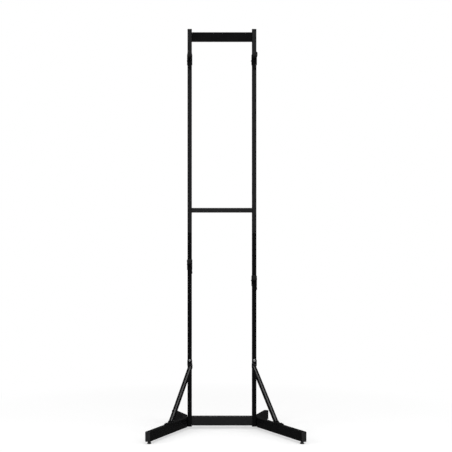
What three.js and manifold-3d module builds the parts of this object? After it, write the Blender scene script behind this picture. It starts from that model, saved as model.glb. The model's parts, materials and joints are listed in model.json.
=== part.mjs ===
// Free-standing storage tower for two bicycles, hung one above the other by their top tubes.
// Millimetres. The origin is on the floor under the middle of the tower's bounding box.
// +X is to the right and +Z is up for someone who faces the tower's front, and the front looks along -Y.
import * as THREE from 'three';
import { mergeVertices } from 'three/addons/utils/BufferGeometryUtils.js';
import Module from 'manifold-3d';

const wasm = await Module();
wasm.setup();

// Overall sizes
const towerHeight = 2032;
const postSpacing = 328;
const floorClearance = 12;

// Tube sizes. The posts are square. The middle crossbar is as high as a foot is wide, both crossbars are as
// deep as a post, and the feet and the base crossbar share the leg's height.
const postWidth = 22;
const tubeWidth = 24;
const tubeWall = 1.5;
const tubeCorner = 3;
const legHeight = 48;

// Frame
const sectionJointHeight = 998;
const middleCrossbarRise = 113;
const baseCrossbarLift = 5;
const spliceLength = 140;
const spliceWall = 2;
const panelHeight = 46;
const panelDrop = 17;
const panelDepth = 22;
const panelSheet = 2;
const panelBend = 5;
const capFlange = 3;
const capPlug = 12;

// Feet, seen from above: each tube has a straight stretch at the post and is bent outwards ahead and behind
const frontLegLength = 412;
const rearLegLength = 151.5;
const frontBendAhead = 23;
const rearBendBehind = 61;
const legBendRadius = 48;
const legBendSteps = 3;
const frontSplay = THREE.MathUtils.degToRad(26.5);
const rearSplay = THREE.MathUtils.degToRad(22);
const endCapFlange = 4;
const plugClearance = 1;

// Braces: round tube with both ends pressed flat, a little wider than the tube. The tube's axis starts
// ahead of the post's face, below and a little inside the upper tab, and ends above the leg, behind the
// lower tab.
const braceRadius = 12;
const braceWall = 1.4;
const braceTabHalfWidth = 12.5;
const braceTabHalfThickness = 1.7;
const braceTopHeight = 360;
const braceTopTabLength = 29;
const braceTopTabSlant = 0.5;
const braceBottomTabLength = 46;
const braceBoltInset = 12;
const braceAxisDrop = 45;
const braceAxisOut = 11.1;
const braceAxisInset = 2.4;
const braceAxisRise = 7.3;
const braceAxisBack = 15.6;
const braceFootAhead = 180;

// Levelling feet
const levelInset = 20;
const padRadius = 10;
const padHeight = 7;
const padChamfer = 2;
const padNeckRadius = 7;
const stemRadius = 4;
const stemLength = 34;
const stemSeat = 3;
const collarRadius = 7.5;
const collarHeight = 3;
const weldNutRadius = 8;
const weldNutHeight = 8;

// Arms. The upper two hang from the top of the tower and the lower two below the joint of the posts.
const upperRestDrop = 140;
const lowerLeftRestDrop = 148;
const lowerRightRestDrop = 230;
const sleeveWall = 2;
const sleeveFrontWall = 4;
const sleeveTop = 10;
const sleeveBottom = -42;
const shankBottom = -64;
const hookWidth = 18;
const hookThickness = 4;
const hookBend = 8;
const hookReach = 76;
const lipTop = 16;
const coverThickness = 2.5;
const coverCorner = 10;
const coverSetback = 26;
const pivotDrop = 22;
const pivotRadius = 4;
const pivotHeadRadius = 6;
const pivotHeadHeight = 4;
const knobRadius = 14;
const knobLength = 18;
const knobLobeDepth = 1.2;
const knobLobes = 7;
const stepsPerLobe = 4;
const knobStandoff = 1;
const knobDrop = 16;
const knobBossRadius = 7;
const knobBossLength = 7;

// Fasteners
const largeBoltRadius = 4;
const largeHeadRadius = 6.5;
const largeHeadHeight = 5;
const smallBoltRadius = 3;
const smallHeadRadius = 5.2;
const smallHeadHeight = 3.2;
const insertRadius = 6.5;
const insertLength = 9;
const footBoltSpacing = 24;
const spliceBoltOffset = 35;

// Facets: the sides of hexagons, rods and pads, and the segments that a curve is drawn with
const hexSides = 6;
const rodSides = 12;
const thinRodSides = 8;
const padSides = 16;
const curveSegments = 2;
const tipCurveSegments = 3;

// Clearances: between pieces that are turned or cut to each other, and the overrun of every cut
const gap = 0.3;
const overrun = 5;

// Places worked out from the sizes above
const half = postWidth / 2;
const legHalf = tubeWidth / 2;
const postX = postSpacing / 2;
const frontReach = frontBendAhead + frontLegLength * Math.cos(frontSplay) + legHalf * Math.sin(frontSplay);
const rearReach = rearBendBehind + rearLegLength * Math.cos(rearSplay) + legHalf * Math.sin(rearSplay);
const postY = (frontReach - rearReach) / 2;
const legTop = floorClearance + legHeight;
const footX = postX + half + legHalf;
const endCapPlug = levelInset - weldNutRadius - endCapFlange - plugClearance;
const crossbarLength = postSpacing - postWidth;
const upperPostTop = towerHeight - capFlange;
const middleCrossbarHeight = sectionJointHeight + middleCrossbarRise;
const upperRestHeight = towerHeight - upperRestDrop;
const lowerLeftRestHeight = sectionJointHeight - lowerLeftRestDrop;
const lowerRightRestHeight = sectionJointHeight - lowerRightRestDrop;

const UP = new THREE.Vector3(0, 0, 1);
const DOWN = new THREE.Vector3(0, 0, -1);
const FORWARD = new THREE.Vector3(0, -1, 0);
const BACKWARD = new THREE.Vector3(0, 1, 0);
const tower = new THREE.Group();

// Materials
const paint = (color, roughness) => new THREE.MeshStandardMaterial({ color, roughness, metalness: 0.2 });
const upperPaint = paint(0x1d1d1f, 0.35);
const lowerPaint = paint(0x121213, 0.3);
const blackPlastic = new THREE.MeshStandardMaterial({ color: 0x1a1a1b, roughness: 0.55, metalness: 0 });
const blackRubber = new THREE.MeshStandardMaterial({ color: 0x161616, roughness: 0.8, metalness: 0 });
const blackSteel = new THREE.MeshStandardMaterial({ color: 0x232326, roughness: 0.4, metalness: 0.8 });
const zincSteel = new THREE.MeshStandardMaterial({ color: 0x9a9c9f, roughness: 0.4, metalness: 1 });

// Solids: closed geometry goes in and out of the boolean library
function toSolid(geometry) {
  const bare = geometry.index ? geometry.clone() : geometry;
  bare.deleteAttribute('normal');
  bare.deleteAttribute('uv');
  const merged = mergeVertices(bare, 1e-4);
  return new wasm.Manifold(new wasm.Mesh({
    numProp: 3,
    vertProperties: new Float32Array(merged.attributes.position.array),
    triVerts: new Uint32Array(merged.index.array),
  }));
}

function toGeometry(solid) {
  const result = solid.getMesh();
  const geometry = new THREE.BufferGeometry();
  geometry.setAttribute('position', new THREE.BufferAttribute(new Float32Array(result.vertProperties), 3));
  geometry.setIndex(new THREE.BufferAttribute(new Uint32Array(result.triVerts), 1));
  geometry.computeVertexNormals();
  return geometry;
}

function addPiece(parent, name, solid, material) {
  const mesh = new THREE.Mesh(toGeometry(solid), material);
  mesh.name = name;
  parent.add(mesh);
  return mesh;
}

function groupAt(parent, x, y, z) {
  const group = new THREE.Group();
  group.position.set(x, y, z);
  parent.add(group);
  return group;
}

// Outlines
function roundedOutline(width, height, radius) {
  const x = width / 2;
  const y = height / 2;
  const shape = new THREE.Shape();
  shape.moveTo(x, y - radius);
  shape.absarc(x - radius, y - radius, radius, 0, Math.PI / 2);
  shape.absarc(-x + radius, y - radius, radius, Math.PI / 2, Math.PI);
  shape.absarc(-x + radius, -y + radius, radius, Math.PI, 1.5 * Math.PI);
  shape.absarc(x - radius, -y + radius, radius, 1.5 * Math.PI, 2 * Math.PI);
  shape.closePath();
  return shape;
}

function prism(shape, length, segments = curveSegments) {
  const settings = { depth: length, bevelEnabled: false, curveSegments: segments };
  return new THREE.ExtrudeGeometry(shape, settings);
}

// A block between two corners
function block(low, high) {
  const size = high.clone().sub(low);
  const middle = low.clone().add(high).multiplyScalar(0.5);
  return toSolid(new THREE.BoxGeometry(size.x, size.y, size.z).translate(middle.x, middle.y, middle.z));
}

// A rod of any number of sides that starts at a point and runs along a direction
function rod(start, direction, radius, length, sides = rodSides) {
  const geometry = new THREE.CylinderGeometry(radius, radius, length, sides).translate(0, length / 2, 0);
  const turn = new THREE.Quaternion().setFromUnitVectors(BACKWARD, direction.clone().normalize());
  return toSolid(geometry.applyQuaternion(turn).translate(start.x, start.y, start.z));
}

// A square or rectangular tube that stands on z = 0
function straightTube(width, height, wall, corner, length) {
  const outside = toSolid(prism(roundedOutline(width, height, corner), length));
  const boreShape = roundedOutline(width - 2 * wall, height - 2 * wall, corner - wall);
  const bore = toSolid(prism(boreShape, length + 2 * overrun).translate(0, 0, -overrun));
  return outside.subtract(bore);
}

// A skin over rings of points: each ring is joined to the next, and the last one to the first
function skinLoop(rings) {
  const count = rings[0].length;
  const positions = rings.flat().flatMap((point) => [point.x, point.y, point.z]);
  const index = [];
  rings.forEach((ring, row) => {
    const here = row * count;
    const next = ((row + 1) % rings.length) * count;
    for (let i = 0; i < count; i += 1) {
      const j = (i + 1) % count;
      index.push(here + i, here + j, next + j, here + i, next + j, next + i);
    }
  });
  const geometry = new THREE.BufferGeometry();
  geometry.setAttribute('position', new THREE.Float32BufferAttribute(positions, 3));
  geometry.setIndex(signedVolume(positions, index) < 0 ? index.reverse() : index);
  return toSolid(geometry);
}

function signedVolume(positions, index) {
  const corner = (i) => new THREE.Vector3().fromArray(positions, 3 * index[i]);
  let volume = 0;
  for (let i = 0; i < index.length; i += 3) {
    volume += corner(i).dot(corner(i + 1).cross(corner(i + 2)));
  }
  return volume;
}

// The points of a rounded rectangle around a centre, along two directions. Each corner has a point at each
// share of its quarter turn: shares that leave out 0 and 1 also suit a circle, whose corners meet.
function ring(station, inset, shares) {
  const { centre, across, through } = station;
  const a = station.halfWidth - inset;
  const b = station.halfThickness - inset;
  const radius = Math.min(station.corner - inset, a, b);
  const corners = [[1, 1], [-1, 1], [-1, -1], [1, -1]];
  return corners.flatMap(([x, y], quarter) => shares.map((share) => {
    const angle = (quarter + share) * Math.PI / 2;
    const sideways = x * (a - radius) + radius * Math.cos(angle);
    const upwards = y * (b - radius) + radius * Math.sin(angle);
    return centre.clone().addScaledVector(across, sideways).addScaledVector(through, upwards);
  }));
}

const fullCornerShares = [0, 0.5, 1];
const innerCornerShares = [0.125, 0.375, 0.625, 0.875];

// A tube whose section changes from station to station, open at both ends
function sweptTube(stations, wall, shares) {
  const outer = stations.map((station) => ring(station, 0, shares));
  const inner = stations.map((station) => ring(station, wall, shares)).reverse();
  return skinLoop([...outer, ...inner]);
}

// Fasteners: a head, a shank and a threaded insert or nut at the far end, as one solid.
// It starts under the head and runs along a direction.
function bolt(start, direction, size, length) {
  const along = direction.clone().normalize();
  const back = along.clone().negate();
  const end = start.clone().addScaledVector(along, length - size.nutLength);
  const shank = rod(start.clone().addScaledVector(back, size.headHeight / 2), along, size.radius,
    length + size.headHeight / 2, size.sides);
  const head = rod(start, back, size.headRadius, size.headHeight, size.headSides);
  const nut = rod(end, along, size.nutRadius, size.nutLength, hexSides);
  return shank.add(head).add(nut);
}

const largeBolt = {
  radius: largeBoltRadius,
  headRadius: largeHeadRadius,
  headHeight: largeHeadHeight,
  headSides: hexSides,
  sides: rodSides,
  nutRadius: insertRadius,
  nutLength: insertLength,
};
const smallBolt = {
  radius: smallBoltRadius,
  headRadius: smallHeadRadius,
  headHeight: smallHeadHeight,
  headSides: rodSides,
  sides: thinRodSides,
  nutRadius: smallHeadRadius,
  nutLength: smallHeadHeight,
};

// Posts
const spliceBoltHeights = [sectionJointHeight - spliceBoltOffset, sectionJointHeight + spliceBoltOffset];
const braceBoltHeight = braceTopHeight - braceBoltInset;
const footBoltHeights = [-1, 1].map((step) => floorClearance + legHeight / 2 + step * footBoltSpacing / 2);

function uprightTube(bottom, top) {
  const length = top - bottom;
  return straightTube(postWidth, postWidth, tubeWall, tubeCorner, length).translate(0, 0, bottom);
}

// A hole along Y through the rear wall of a post, of its splice, or of both
function rearHole(height) {
  return rod(new THREE.Vector3(0, 0, height), BACKWARD, smallBoltRadius + gap, half + overrun);
}

function makePosts(side, sideName) {
  const post = groupAt(tower, side * postX, postY, 0);
  const outward = new THREE.Vector3(side, 0, 0);
  let lower = uprightTube(floorClearance, sectionJointHeight);
  lower = lower.subtract(rearHole(spliceBoltHeights[0]));
  footBoltHeights.forEach((height) => {
    const middle = new THREE.Vector3(0, 0, height);
    lower = lower.subtract(rod(middle, outward, largeBoltRadius + gap, half + overrun));
  });
  const braceHoleStart = new THREE.Vector3(0, -half - overrun, braceBoltHeight);
  const braceHole = rod(braceHoleStart, BACKWARD, largeBoltRadius + gap, postWidth + 2 * overrun);
  lower = lower.subtract(braceHole);
  addPiece(post, `${sideName}_lower_post`, lower, lowerPaint);

  const upper = uprightTube(sectionJointHeight, upperPostTop).subtract(rearHole(spliceBoltHeights[1]));
  addPiece(post, `${sideName}_upper_post`, upper, upperPaint);

  const spliceWidth = postWidth - 2 * tubeWall - 2 * gap;
  const spliceCorner = spliceWall + gap;
  let splice = straightTube(spliceWidth, spliceWidth, spliceWall, spliceCorner, spliceLength);
  splice = splice.translate(0, 0, sectionJointHeight - spliceLength / 2);
  spliceBoltHeights.forEach((height) => {
    splice = splice.subtract(rearHole(height));
  });
  addPiece(post, `${sideName}_post_splice`, splice, blackSteel);

  ['lower', 'upper'].forEach((level, i) => {
    const start = new THREE.Vector3(0, half, spliceBoltHeights[i]);
    const length = tubeWall + gap + spliceWall + smallBolt.nutLength;
    const fastener = bolt(start, FORWARD, smallBolt, length);
    addPiece(post, `${sideName}_${level}_splice_bolt`, fastener, blackSteel);
  });

  const flange = prism(roundedOutline(postWidth, postWidth, tubeCorner), capFlange);
  const plugWidth = postWidth - 2 * tubeWall - 2 * gap;
  const plug = prism(roundedOutline(plugWidth, plugWidth, tubeCorner - tubeWall), capPlug + capFlange / 2);
  const cap = toSolid(flange).add(toSolid(plug.translate(0, 0, -capPlug)));
  addPiece(post, `${sideName}_post_cap`, cap.translate(0, 0, upperPostTop), blackPlastic);
}

// Crossbars: each is cut square and welded between the inner faces of the posts
function makeCrossbars() {
  const frame = groupAt(tower, 0, postY, 0);
  const lay = (solid) => solid.rotate([0, 90, 0]).translate(-crossbarLength / 2, 0, 0);
  const middle = lay(straightTube(tubeWidth, postWidth, tubeWall, tubeCorner, crossbarLength));
  addPiece(frame, 'middle_crossbar', middle.translate(0, 0, middleCrossbarHeight), upperPaint);
  const base = lay(straightTube(legHeight, postWidth, tubeWall, tubeCorner, crossbarLength));
  const baseHeight = floorClearance + baseCrossbarLift + legHeight / 2;
  addPiece(frame, 'base_crossbar', base.translate(0, 0, baseHeight), lowerPaint);
}

// Top panel: sheet folded into a shallow pan that is open at the back
function makeTopPanel() {
  const frame = groupAt(tower, 0, postY - half + panelDepth / 2, towerHeight - panelDrop - panelHeight);
  const outline = roundedOutline(crossbarLength, panelDepth + 2 * panelBend, panelBend);
  const outside = toSolid(prism(outline, panelHeight).translate(0, panelBend, 0));
  const insideWidth = crossbarLength - 2 * panelSheet;
  const hollow = prism(roundedOutline(insideWidth, panelDepth + 2 * panelBend, panelBend - panelSheet),
    panelHeight - 2 * panelSheet);
  const inside = toSolid(hollow.translate(0, panelBend + panelSheet, panelSheet));
  const behind = new THREE.Vector3(crossbarLength, panelDepth / 2 + 4 * panelBend, panelHeight + overrun);
  const trim = block(new THREE.Vector3(-crossbarLength, panelDepth / 2, -overrun), behind);
  addPiece(frame, 'top_panel', outside.subtract(inside).subtract(trim), upperPaint);
}

// Feet. In plan the tube runs from the front tip to the rear tip, with an arc at each of its two bends.
function footPlan(side) {
  const frontBend = new THREE.Vector2(0, -frontBendAhead);
  const rearBend = new THREE.Vector2(0, rearBendBehind);
  const frontWay = new THREE.Vector2(Math.sin(frontSplay), -Math.cos(frontSplay));
  const rearWay = new THREE.Vector2(Math.sin(rearSplay), Math.cos(rearSplay));
  const frontLength = frontLegLength - endCapFlange;
  const rearLength = rearLegLength - endCapFlange;
  const frontTip = frontBend.clone().addScaledVector(frontWay, frontLength);
  const rearTip = rearBend.clone().addScaledVector(rearWay, rearLength);
  const stations = [{ point: frontTip, way: frontWay.clone().negate() }];
  const arc = (bend, wayIn, wayOut, splay) => {
    const setback = legBendRadius * Math.tan(splay / 2);
    const start = bend.clone().addScaledVector(wayIn, -setback);
    const end = bend.clone().addScaledVector(wayOut, setback);
    for (let i = 0; i <= legBendSteps; i += 1) {
      const share = i / legBendSteps;
      const inner = start.clone().lerp(bend, share);
      const outer = bend.clone().lerp(end, share);
      stations.push({ point: inner.lerp(outer, share), way: wayIn.clone().lerp(wayOut, share).normalize() });
    }
  };
  const straight = new THREE.Vector2(0, 1);
  arc(frontBend, frontWay.clone().negate(), straight, frontSplay);
  arc(rearBend, straight, rearWay, rearSplay);
  stations.push({ point: rearTip, way: rearWay });
  return stations.map(({ point, way }) => ({
    centre: new THREE.Vector3(side * point.x, point.y, 0),
    way: new THREE.Vector3(side * way.x, way.y, 0),
  }));
}

// The place of a point on a leg's centre line, measured back from the tip's outer face
function legPoint(side, end, inset) {
  const front = end === 'front';
  const splay = front ? frontSplay : rearSplay;
  const length = front ? frontLegLength : rearLegLength;
  const turnY = front ? -frontBendAhead : rearBendBehind;
  const way = new THREE.Vector3(side * Math.sin(splay), (front ? -1 : 1) * Math.cos(splay), 0);
  const place = new THREE.Vector3(0, turnY, 0).addScaledVector(way, length - inset);
  return { place, way };
}

function makeFoot(side, sideName) {
  const foot = groupAt(tower, side * footX, postY, floorClearance);
  const stations = footPlan(side).map(({ centre, way }) => ({
    centre: centre.setZ(legHeight / 2),
    across: new THREE.Vector3(way.y, -way.x, 0),
    through: UP,
    halfWidth: legHalf,
    halfThickness: legHeight / 2,
    corner: tubeCorner,
  }));
  let tube = sweptTube(stations, tubeWall, fullCornerShares);
  ['front', 'rear'].forEach((end) => {
    const { place, way } = legPoint(side, end, levelInset);
    const nutStart = place.clone().setZ(tubeWall / 2);
    const nut = rod(nutStart, UP, weldNutRadius, weldNutHeight + tubeWall / 2, hexSides);
    const hole = rod(place.clone().setZ(-overrun), UP, stemRadius + gap, weldNutHeight + 2 * overrun);
    tube = tube.add(nut).subtract(hole);
    makeLevellingFoot(foot, place, `${sideName}_${end}`);
    makeEndCap(foot, legPoint(side, end, 0).place, way, `${sideName}_${end}_end_cap`);
  });
  const inward = new THREE.Vector3(-side, 0, 0);
  ['lower', 'upper'].forEach((level, i) => {
    const height = footBoltHeights[i] - floorClearance;
    const headFace = new THREE.Vector3(side * legHalf, 0, height);
    const holeStart = headFace.clone().addScaledVector(inward, -overrun);
    tube = tube.subtract(rod(holeStart, inward, largeBoltRadius + gap, tubeWidth + 2 * overrun));
    const length = tubeWidth + tubeWall + largeBolt.nutLength;
    const fastener = bolt(headFace, inward, largeBolt, length);
    addPiece(foot, `${sideName}_${level}_foot_bolt`, fastener, blackSteel);
  });
  const { place: tabBolt } = braceTab(side);
  const boltHole = rod(tabBolt.clone().setZ(legHeight / 2), UP, largeBoltRadius + gap, legHeight);
  addPiece(foot, `${sideName}_foot_tube`, tube.subtract(boltHole), lowerPaint);
}

function makeEndCap(foot, tip, way, name) {
  const flange = toSolid(prism(roundedOutline(legHeight, tubeWidth, tubeCorner), endCapFlange - gap));
  const plugHeight = legHeight - 2 * tubeWall - 2 * gap;
  const plugWidth = tubeWidth - 2 * tubeWall - 2 * gap;
  const plugShape = roundedOutline(plugHeight, plugWidth, tubeCorner - tubeWall);
  const plug = toSolid(prism(plugShape, endCapPlug + endCapFlange / 2).translate(0, 0, -endCapPlug));
  const cap = groupAt(foot, tip.x - way.x * (endCapFlange - gap), tip.y - way.y * (endCapFlange - gap),
    legHeight / 2);
  const basis = new THREE.Matrix4().makeBasis(UP, new THREE.Vector3(way.y, -way.x, 0), way);
  cap.quaternion.setFromRotationMatrix(basis);
  addPiece(cap, name, flange.add(plug), blackPlastic);
}

// Levelling feet: a threaded stem with a hex collar turns in a round pad
function makeLevellingFoot(foot, place, name) {
  const level = groupAt(foot, place.x, place.y, -floorClearance);
  const profile = [
    [0, 0],
    [padRadius - padChamfer, 0],
    [padRadius, padChamfer],
    [padRadius, padHeight - padChamfer],
    [padNeckRadius, padHeight],
    [0, padHeight],
  ].map(([radius, height]) => new THREE.Vector2(radius, height));
  const body = toSolid(new THREE.LatheGeometry(profile, padSides).rotateX(Math.PI / 2));
  const socket = rod(new THREE.Vector3(0, 0, stemSeat - gap), UP, stemRadius + gap, padHeight);
  addPiece(level, `${name}_levelling_pad`, body.subtract(socket), blackRubber);
  const thread = rod(new THREE.Vector3(0, 0, stemSeat), UP, stemRadius, stemLength);
  const collar = rod(new THREE.Vector3(0, 0, padHeight + gap), UP, collarRadius, collarHeight, hexSides);
  addPiece(level, `${name}_levelling_stem`, thread.add(collar), zincSteel);
}

// Braces. The bottom tab lies along the top of the front leg, and the top tab on the front of the post. Below
// the top tab the tube opens along a slanted line, because it leans outwards as well as forwards.
function braceTab(side) {
  const along = (braceFootAhead - frontBendAhead) / Math.cos(frontSplay);
  const { place: start, way } = legPoint(side, 'front', frontLegLength - along);
  const bolted = start.clone().addScaledVector(way, braceBottomTabLength - braceBoltInset);
  return { start, way, place: bolted };
}

function makeBrace(side, sideName) {
  const brace = groupAt(tower, side * footX, postY, 0);
  const { start, way, place } = braceTab(side);
  const tabLift = braceTabHalfThickness + gap;
  const topX = side * (postX - footX);
  const top = new THREE.Vector3(topX, -half - tabLift, braceTopHeight);
  const topEnd = top.clone().setZ(braceTopHeight - braceTopTabLength);
  const bottomEnd = start.clone().setZ(legTop + tabLift);
  const tip = bottomEnd.clone().addScaledVector(way, braceBottomTabLength);
  const axisTop = new THREE.Vector3(topX - side * braceAxisInset, -half - braceAxisOut,
    braceTopHeight - braceAxisDrop);
  const axisBottom = start.clone().addScaledVector(way, -braceAxisBack).setZ(legTop + braceAxisRise);
  const run = axisBottom.clone().sub(axisTop).normalize();
  const topAcross = new THREE.Vector3(side, 0, 0);
  const bottomAcross = new THREE.Vector3(-way.y, way.x, 0).multiplyScalar(side);

  const flatStation = (centre, direction, across, widthShare) => ({
    centre,
    across,
    through: direction.clone().cross(across).normalize(),
    halfWidth: braceTabHalfWidth * widthShare,
    halfThickness: braceTabHalfThickness,
    corner: braceTabHalfThickness,
  });
  const middleAcross = topAcross.clone().add(bottomAcross).normalize();
  const roundAcross = middleAcross.addScaledVector(run, -middleAcross.dot(run)).normalize();
  const roundStation = (centre) => ({
    centre,
    across: roundAcross,
    through: run.clone().cross(roundAcross),
    halfWidth: braceRadius,
    halfThickness: braceRadius,
    corner: braceRadius,
  });
  const roundEndShares = [[0, 0.5], [0.2, 0.85], [0.6, 1]];
  const stations = [];
  roundEndShares.forEach(([lengthShare, widthShare]) => {
    const centre = top.clone().addScaledVector(DOWN, lengthShare * braceTabHalfWidth);
    stations.push(flatStation(centre, DOWN, topAcross, widthShare));
  });
  const slanted = flatStation(topEnd, DOWN, topAcross, 1);
  slanted.across = topAcross.clone().addScaledVector(DOWN, braceTopTabSlant);
  stations.push(slanted);
  stations.push(roundStation(axisTop));
  stations.push(roundStation(axisBottom));
  stations.push(flatStation(bottomEnd, way, bottomAcross, 1));
  [...roundEndShares].reverse().forEach(([lengthShare, widthShare]) => {
    const centre = tip.clone().addScaledVector(way, -lengthShare * braceTabHalfWidth);
    stations.push(flatStation(centre, way, bottomAcross, widthShare));
  });
  const topHoleStart = new THREE.Vector3(topX, -half - 2 * overrun, braceBoltHeight);
  const topHole = rod(topHoleStart, BACKWARD, largeBoltRadius + gap, 4 * overrun);
  const bottomHole = rod(place.clone().setZ(legTop - overrun), UP, largeBoltRadius + gap, 4 * overrun);
  const tube = sweptTube(stations, braceWall, innerCornerShares).subtract(topHole).subtract(bottomHole);
  addPiece(brace, `${sideName}_brace`, tube, lowerPaint);

  const tabThickness = 2 * braceTabHalfThickness + gap;
  const upperStart = new THREE.Vector3(topX, -half - tabThickness, braceBoltHeight);
  const upperLength = tabThickness + postWidth + largeBolt.nutLength;
  const upper = bolt(upperStart, BACKWARD, largeBolt, upperLength);
  addPiece(brace, `${sideName}_brace_upper_bolt`, upper, blackSteel);
  const lowerStart = place.clone().setZ(legTop + tabThickness);
  const lowerLength = tabThickness + tubeWall + largeBolt.nutLength;
  const lower = bolt(lowerStart, DOWN, largeBolt, lowerLength);
  addPiece(brace, `${sideName}_brace_lower_bolt`, lower, blackSteel);
}

// Arms. Each is drawn around its post's axis, with the cradle's rest surface at z = 0.
const sleeveInside = half + gap;
const sleeveFront = sleeveInside + sleeveFrontWall;
const sleeveRear = sleeveInside + sleeveWall;
const hookBack = sleeveFront + gap;
const sleeveMiddle = (sleeveRear - sleeveFront) / 2;

function sleeveSolid() {
  const height = sleeveTop - sleeveBottom;
  const width = 2 * (sleeveInside + sleeveWall);
  const outside = prism(roundedOutline(width, sleeveFront + sleeveRear, tubeCorner), height);
  const boreShape = roundedOutline(2 * sleeveInside, 2 * sleeveInside, tubeCorner + gap);
  const bore = prism(boreShape, height + 2 * overrun);
  const tongueLow = new THREE.Vector3(-hookWidth / 2, -sleeveFront, shankBottom);
  const tongueHigh = new THREE.Vector3(hookWidth / 2, -sleeveInside, sleeveBottom + overrun);
  const boss = rod(new THREE.Vector3(0, sleeveInside + sleeveWall / 2, -knobDrop), BACKWARD,
    knobBossRadius, knobBossLength + sleeveWall / 2);
  const screwHole = rod(new THREE.Vector3(0, 0, -knobDrop), BACKWARD, stemRadius + gap,
    sleeveRear + knobBossLength + overrun);
  const pivotHole = rod(new THREE.Vector3(0, 0, -pivotDrop), FORWARD, pivotRadius + gap,
    sleeveFront + overrun);
  return toSolid(outside.translate(0, sleeveMiddle, sleeveBottom))
    .subtract(toSolid(bore.translate(0, 0, sleeveBottom - overrun)))
    .add(block(tongueLow, tongueHigh))
    .add(boss)
    .subtract(screwHole)
    .subtract(pivotHole);
}

// The hook's side view as a band of even thickness, grown by a margin: up the shank, forward and up the lip.
// Outline x is the distance ahead of the post's axis, and outline y is the height.
function hookBand(margin, startAhead, shankEnd, lipEnd) {
  const floorTop = -coverThickness - gap + margin;
  const floorUnder = -coverThickness - gap - hookThickness - margin;
  const back = hookBack - margin;
  const shankFront = hookBack + hookThickness + margin;
  const lipFront = hookReach - coverThickness - gap + margin;
  const lipBack = lipFront - hookThickness - 2 * margin;
  const outerBend = hookBend + margin;
  const innerBend = hookBend - hookThickness - margin;
  const shape = new THREE.Shape();
  if (startAhead > shankFront) {
    shape.moveTo(startAhead, floorUnder);
    shape.lineTo(startAhead, floorTop);
  } else {
    shape.moveTo(shankFront, shankEnd);
    shape.lineTo(back, shankEnd);
    shape.lineTo(back, floorTop - outerBend);
    shape.absarc(back + outerBend, floorTop - outerBend, outerBend, Math.PI, Math.PI / 2, true);
  }
  shape.lineTo(lipBack - innerBend, floorTop);
  shape.absarc(lipBack - innerBend, floorTop + innerBend, innerBend, -Math.PI / 2, 0);
  shape.lineTo(lipBack, lipEnd);
  shape.lineTo(lipFront, lipEnd);
  shape.lineTo(lipFront, floorUnder + outerBend);
  shape.absarc(lipFront - outerBend, floorUnder + outerBend, outerBend, 0, -Math.PI / 2, true);
  if (startAhead <= shankFront) {
    shape.lineTo(shankFront + innerBend, floorUnder);
    shape.absarc(shankFront + innerBend, floorUnder - innerBend, innerBend, Math.PI / 2, Math.PI);
  }
  shape.closePath();
  return shape;
}

// Stands a side view up, centred on the post's axis, with its outline's x towards the front
function standBand(shape, width) {
  const geometry = prism(shape, width).translate(0, 0, -width / 2);
  const basis = new THREE.Matrix4().makeBasis(FORWARD, UP, new THREE.Vector3(-1, 0, 0));
  return toSolid(geometry.applyMatrix4(basis));
}

// What is left inside a front view with two round upper corners
function roundTop(solid, width, top, corner) {
  const height = top - shankBottom + 2 * overrun;
  const view = prism(roundedOutline(width, height, corner), hookReach + 2 * overrun, tipCurveSegments);
  const turned = view.rotateX(Math.PI / 2).translate(0, overrun, top - height / 2);
  return solid.intersect(toSolid(turned));
}

function hookSolid() {
  const steelTop = lipTop - coverThickness - gap;
  const band = standBand(hookBand(0, 0, shankBottom, steelTop), hookWidth);
  const hole = rod(new THREE.Vector3(0, 0, -pivotDrop), FORWARD, pivotRadius + gap,
    hookReach / 2);
  return roundTop(band, hookWidth, steelTop, coverCorner - coverThickness).subtract(hole);
}

function coverSolid() {
  const start = coverSetback;
  const width = hookWidth + 2 * coverThickness + 2 * gap;
  const outer = standBand(hookBand(coverThickness + gap, start, 0, lipTop), width);
  const inner = standBand(hookBand(gap, start - overrun, 0, lipTop - coverThickness), hookWidth + 2 * gap);
  const rounded = roundTop(outer, width, lipTop, coverCorner);
  const pocket = roundTop(inner, hookWidth + 2 * gap, lipTop - coverThickness, coverCorner - coverThickness);
  return rounded.subtract(pocket);
}

function pivotBoltSolid() {
  const headFace = hookBack + hookThickness + gap;
  const start = new THREE.Vector3(0, -headFace, -pivotDrop);
  const shankLength = headFace - half - 2 * gap;
  const shank = rod(start.clone().setY(-headFace - pivotHeadHeight / 2), BACKWARD, pivotRadius,
    shankLength + pivotHeadHeight / 2);
  return shank.add(rod(start, FORWARD, pivotHeadRadius, pivotHeadHeight, hexSides));
}

function knobSolid() {
  const outline = new THREE.Shape();
  const steps = stepsPerLobe * knobLobes;
  for (let i = 0; i < steps; i += 1) {
    const angle = 2 * Math.PI * i / steps;
    const radius = knobRadius - knobLobeDepth * (1 - Math.cos(knobLobes * angle)) / 2;
    const move = i === 0 ? 'moveTo' : 'lineTo';
    outline[move](radius * Math.cos(angle), radius * Math.sin(angle));
  }
  outline.closePath();
  const bodyStart = sleeveRear + knobBossLength + knobStandoff;
  const body = toSolid(prism(outline, knobLength).rotateX(-Math.PI / 2).translate(0, bodyStart, 0));
  const screwStart = new THREE.Vector3(0, half + gap, 0);
  const screwLength = bodyStart + knobLength / 2 - screwStart.y;
  const screw = rod(screwStart, BACKWARD, stemRadius, screwLength);
  return body.add(screw).translate(0, 0, -knobDrop);
}

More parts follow.
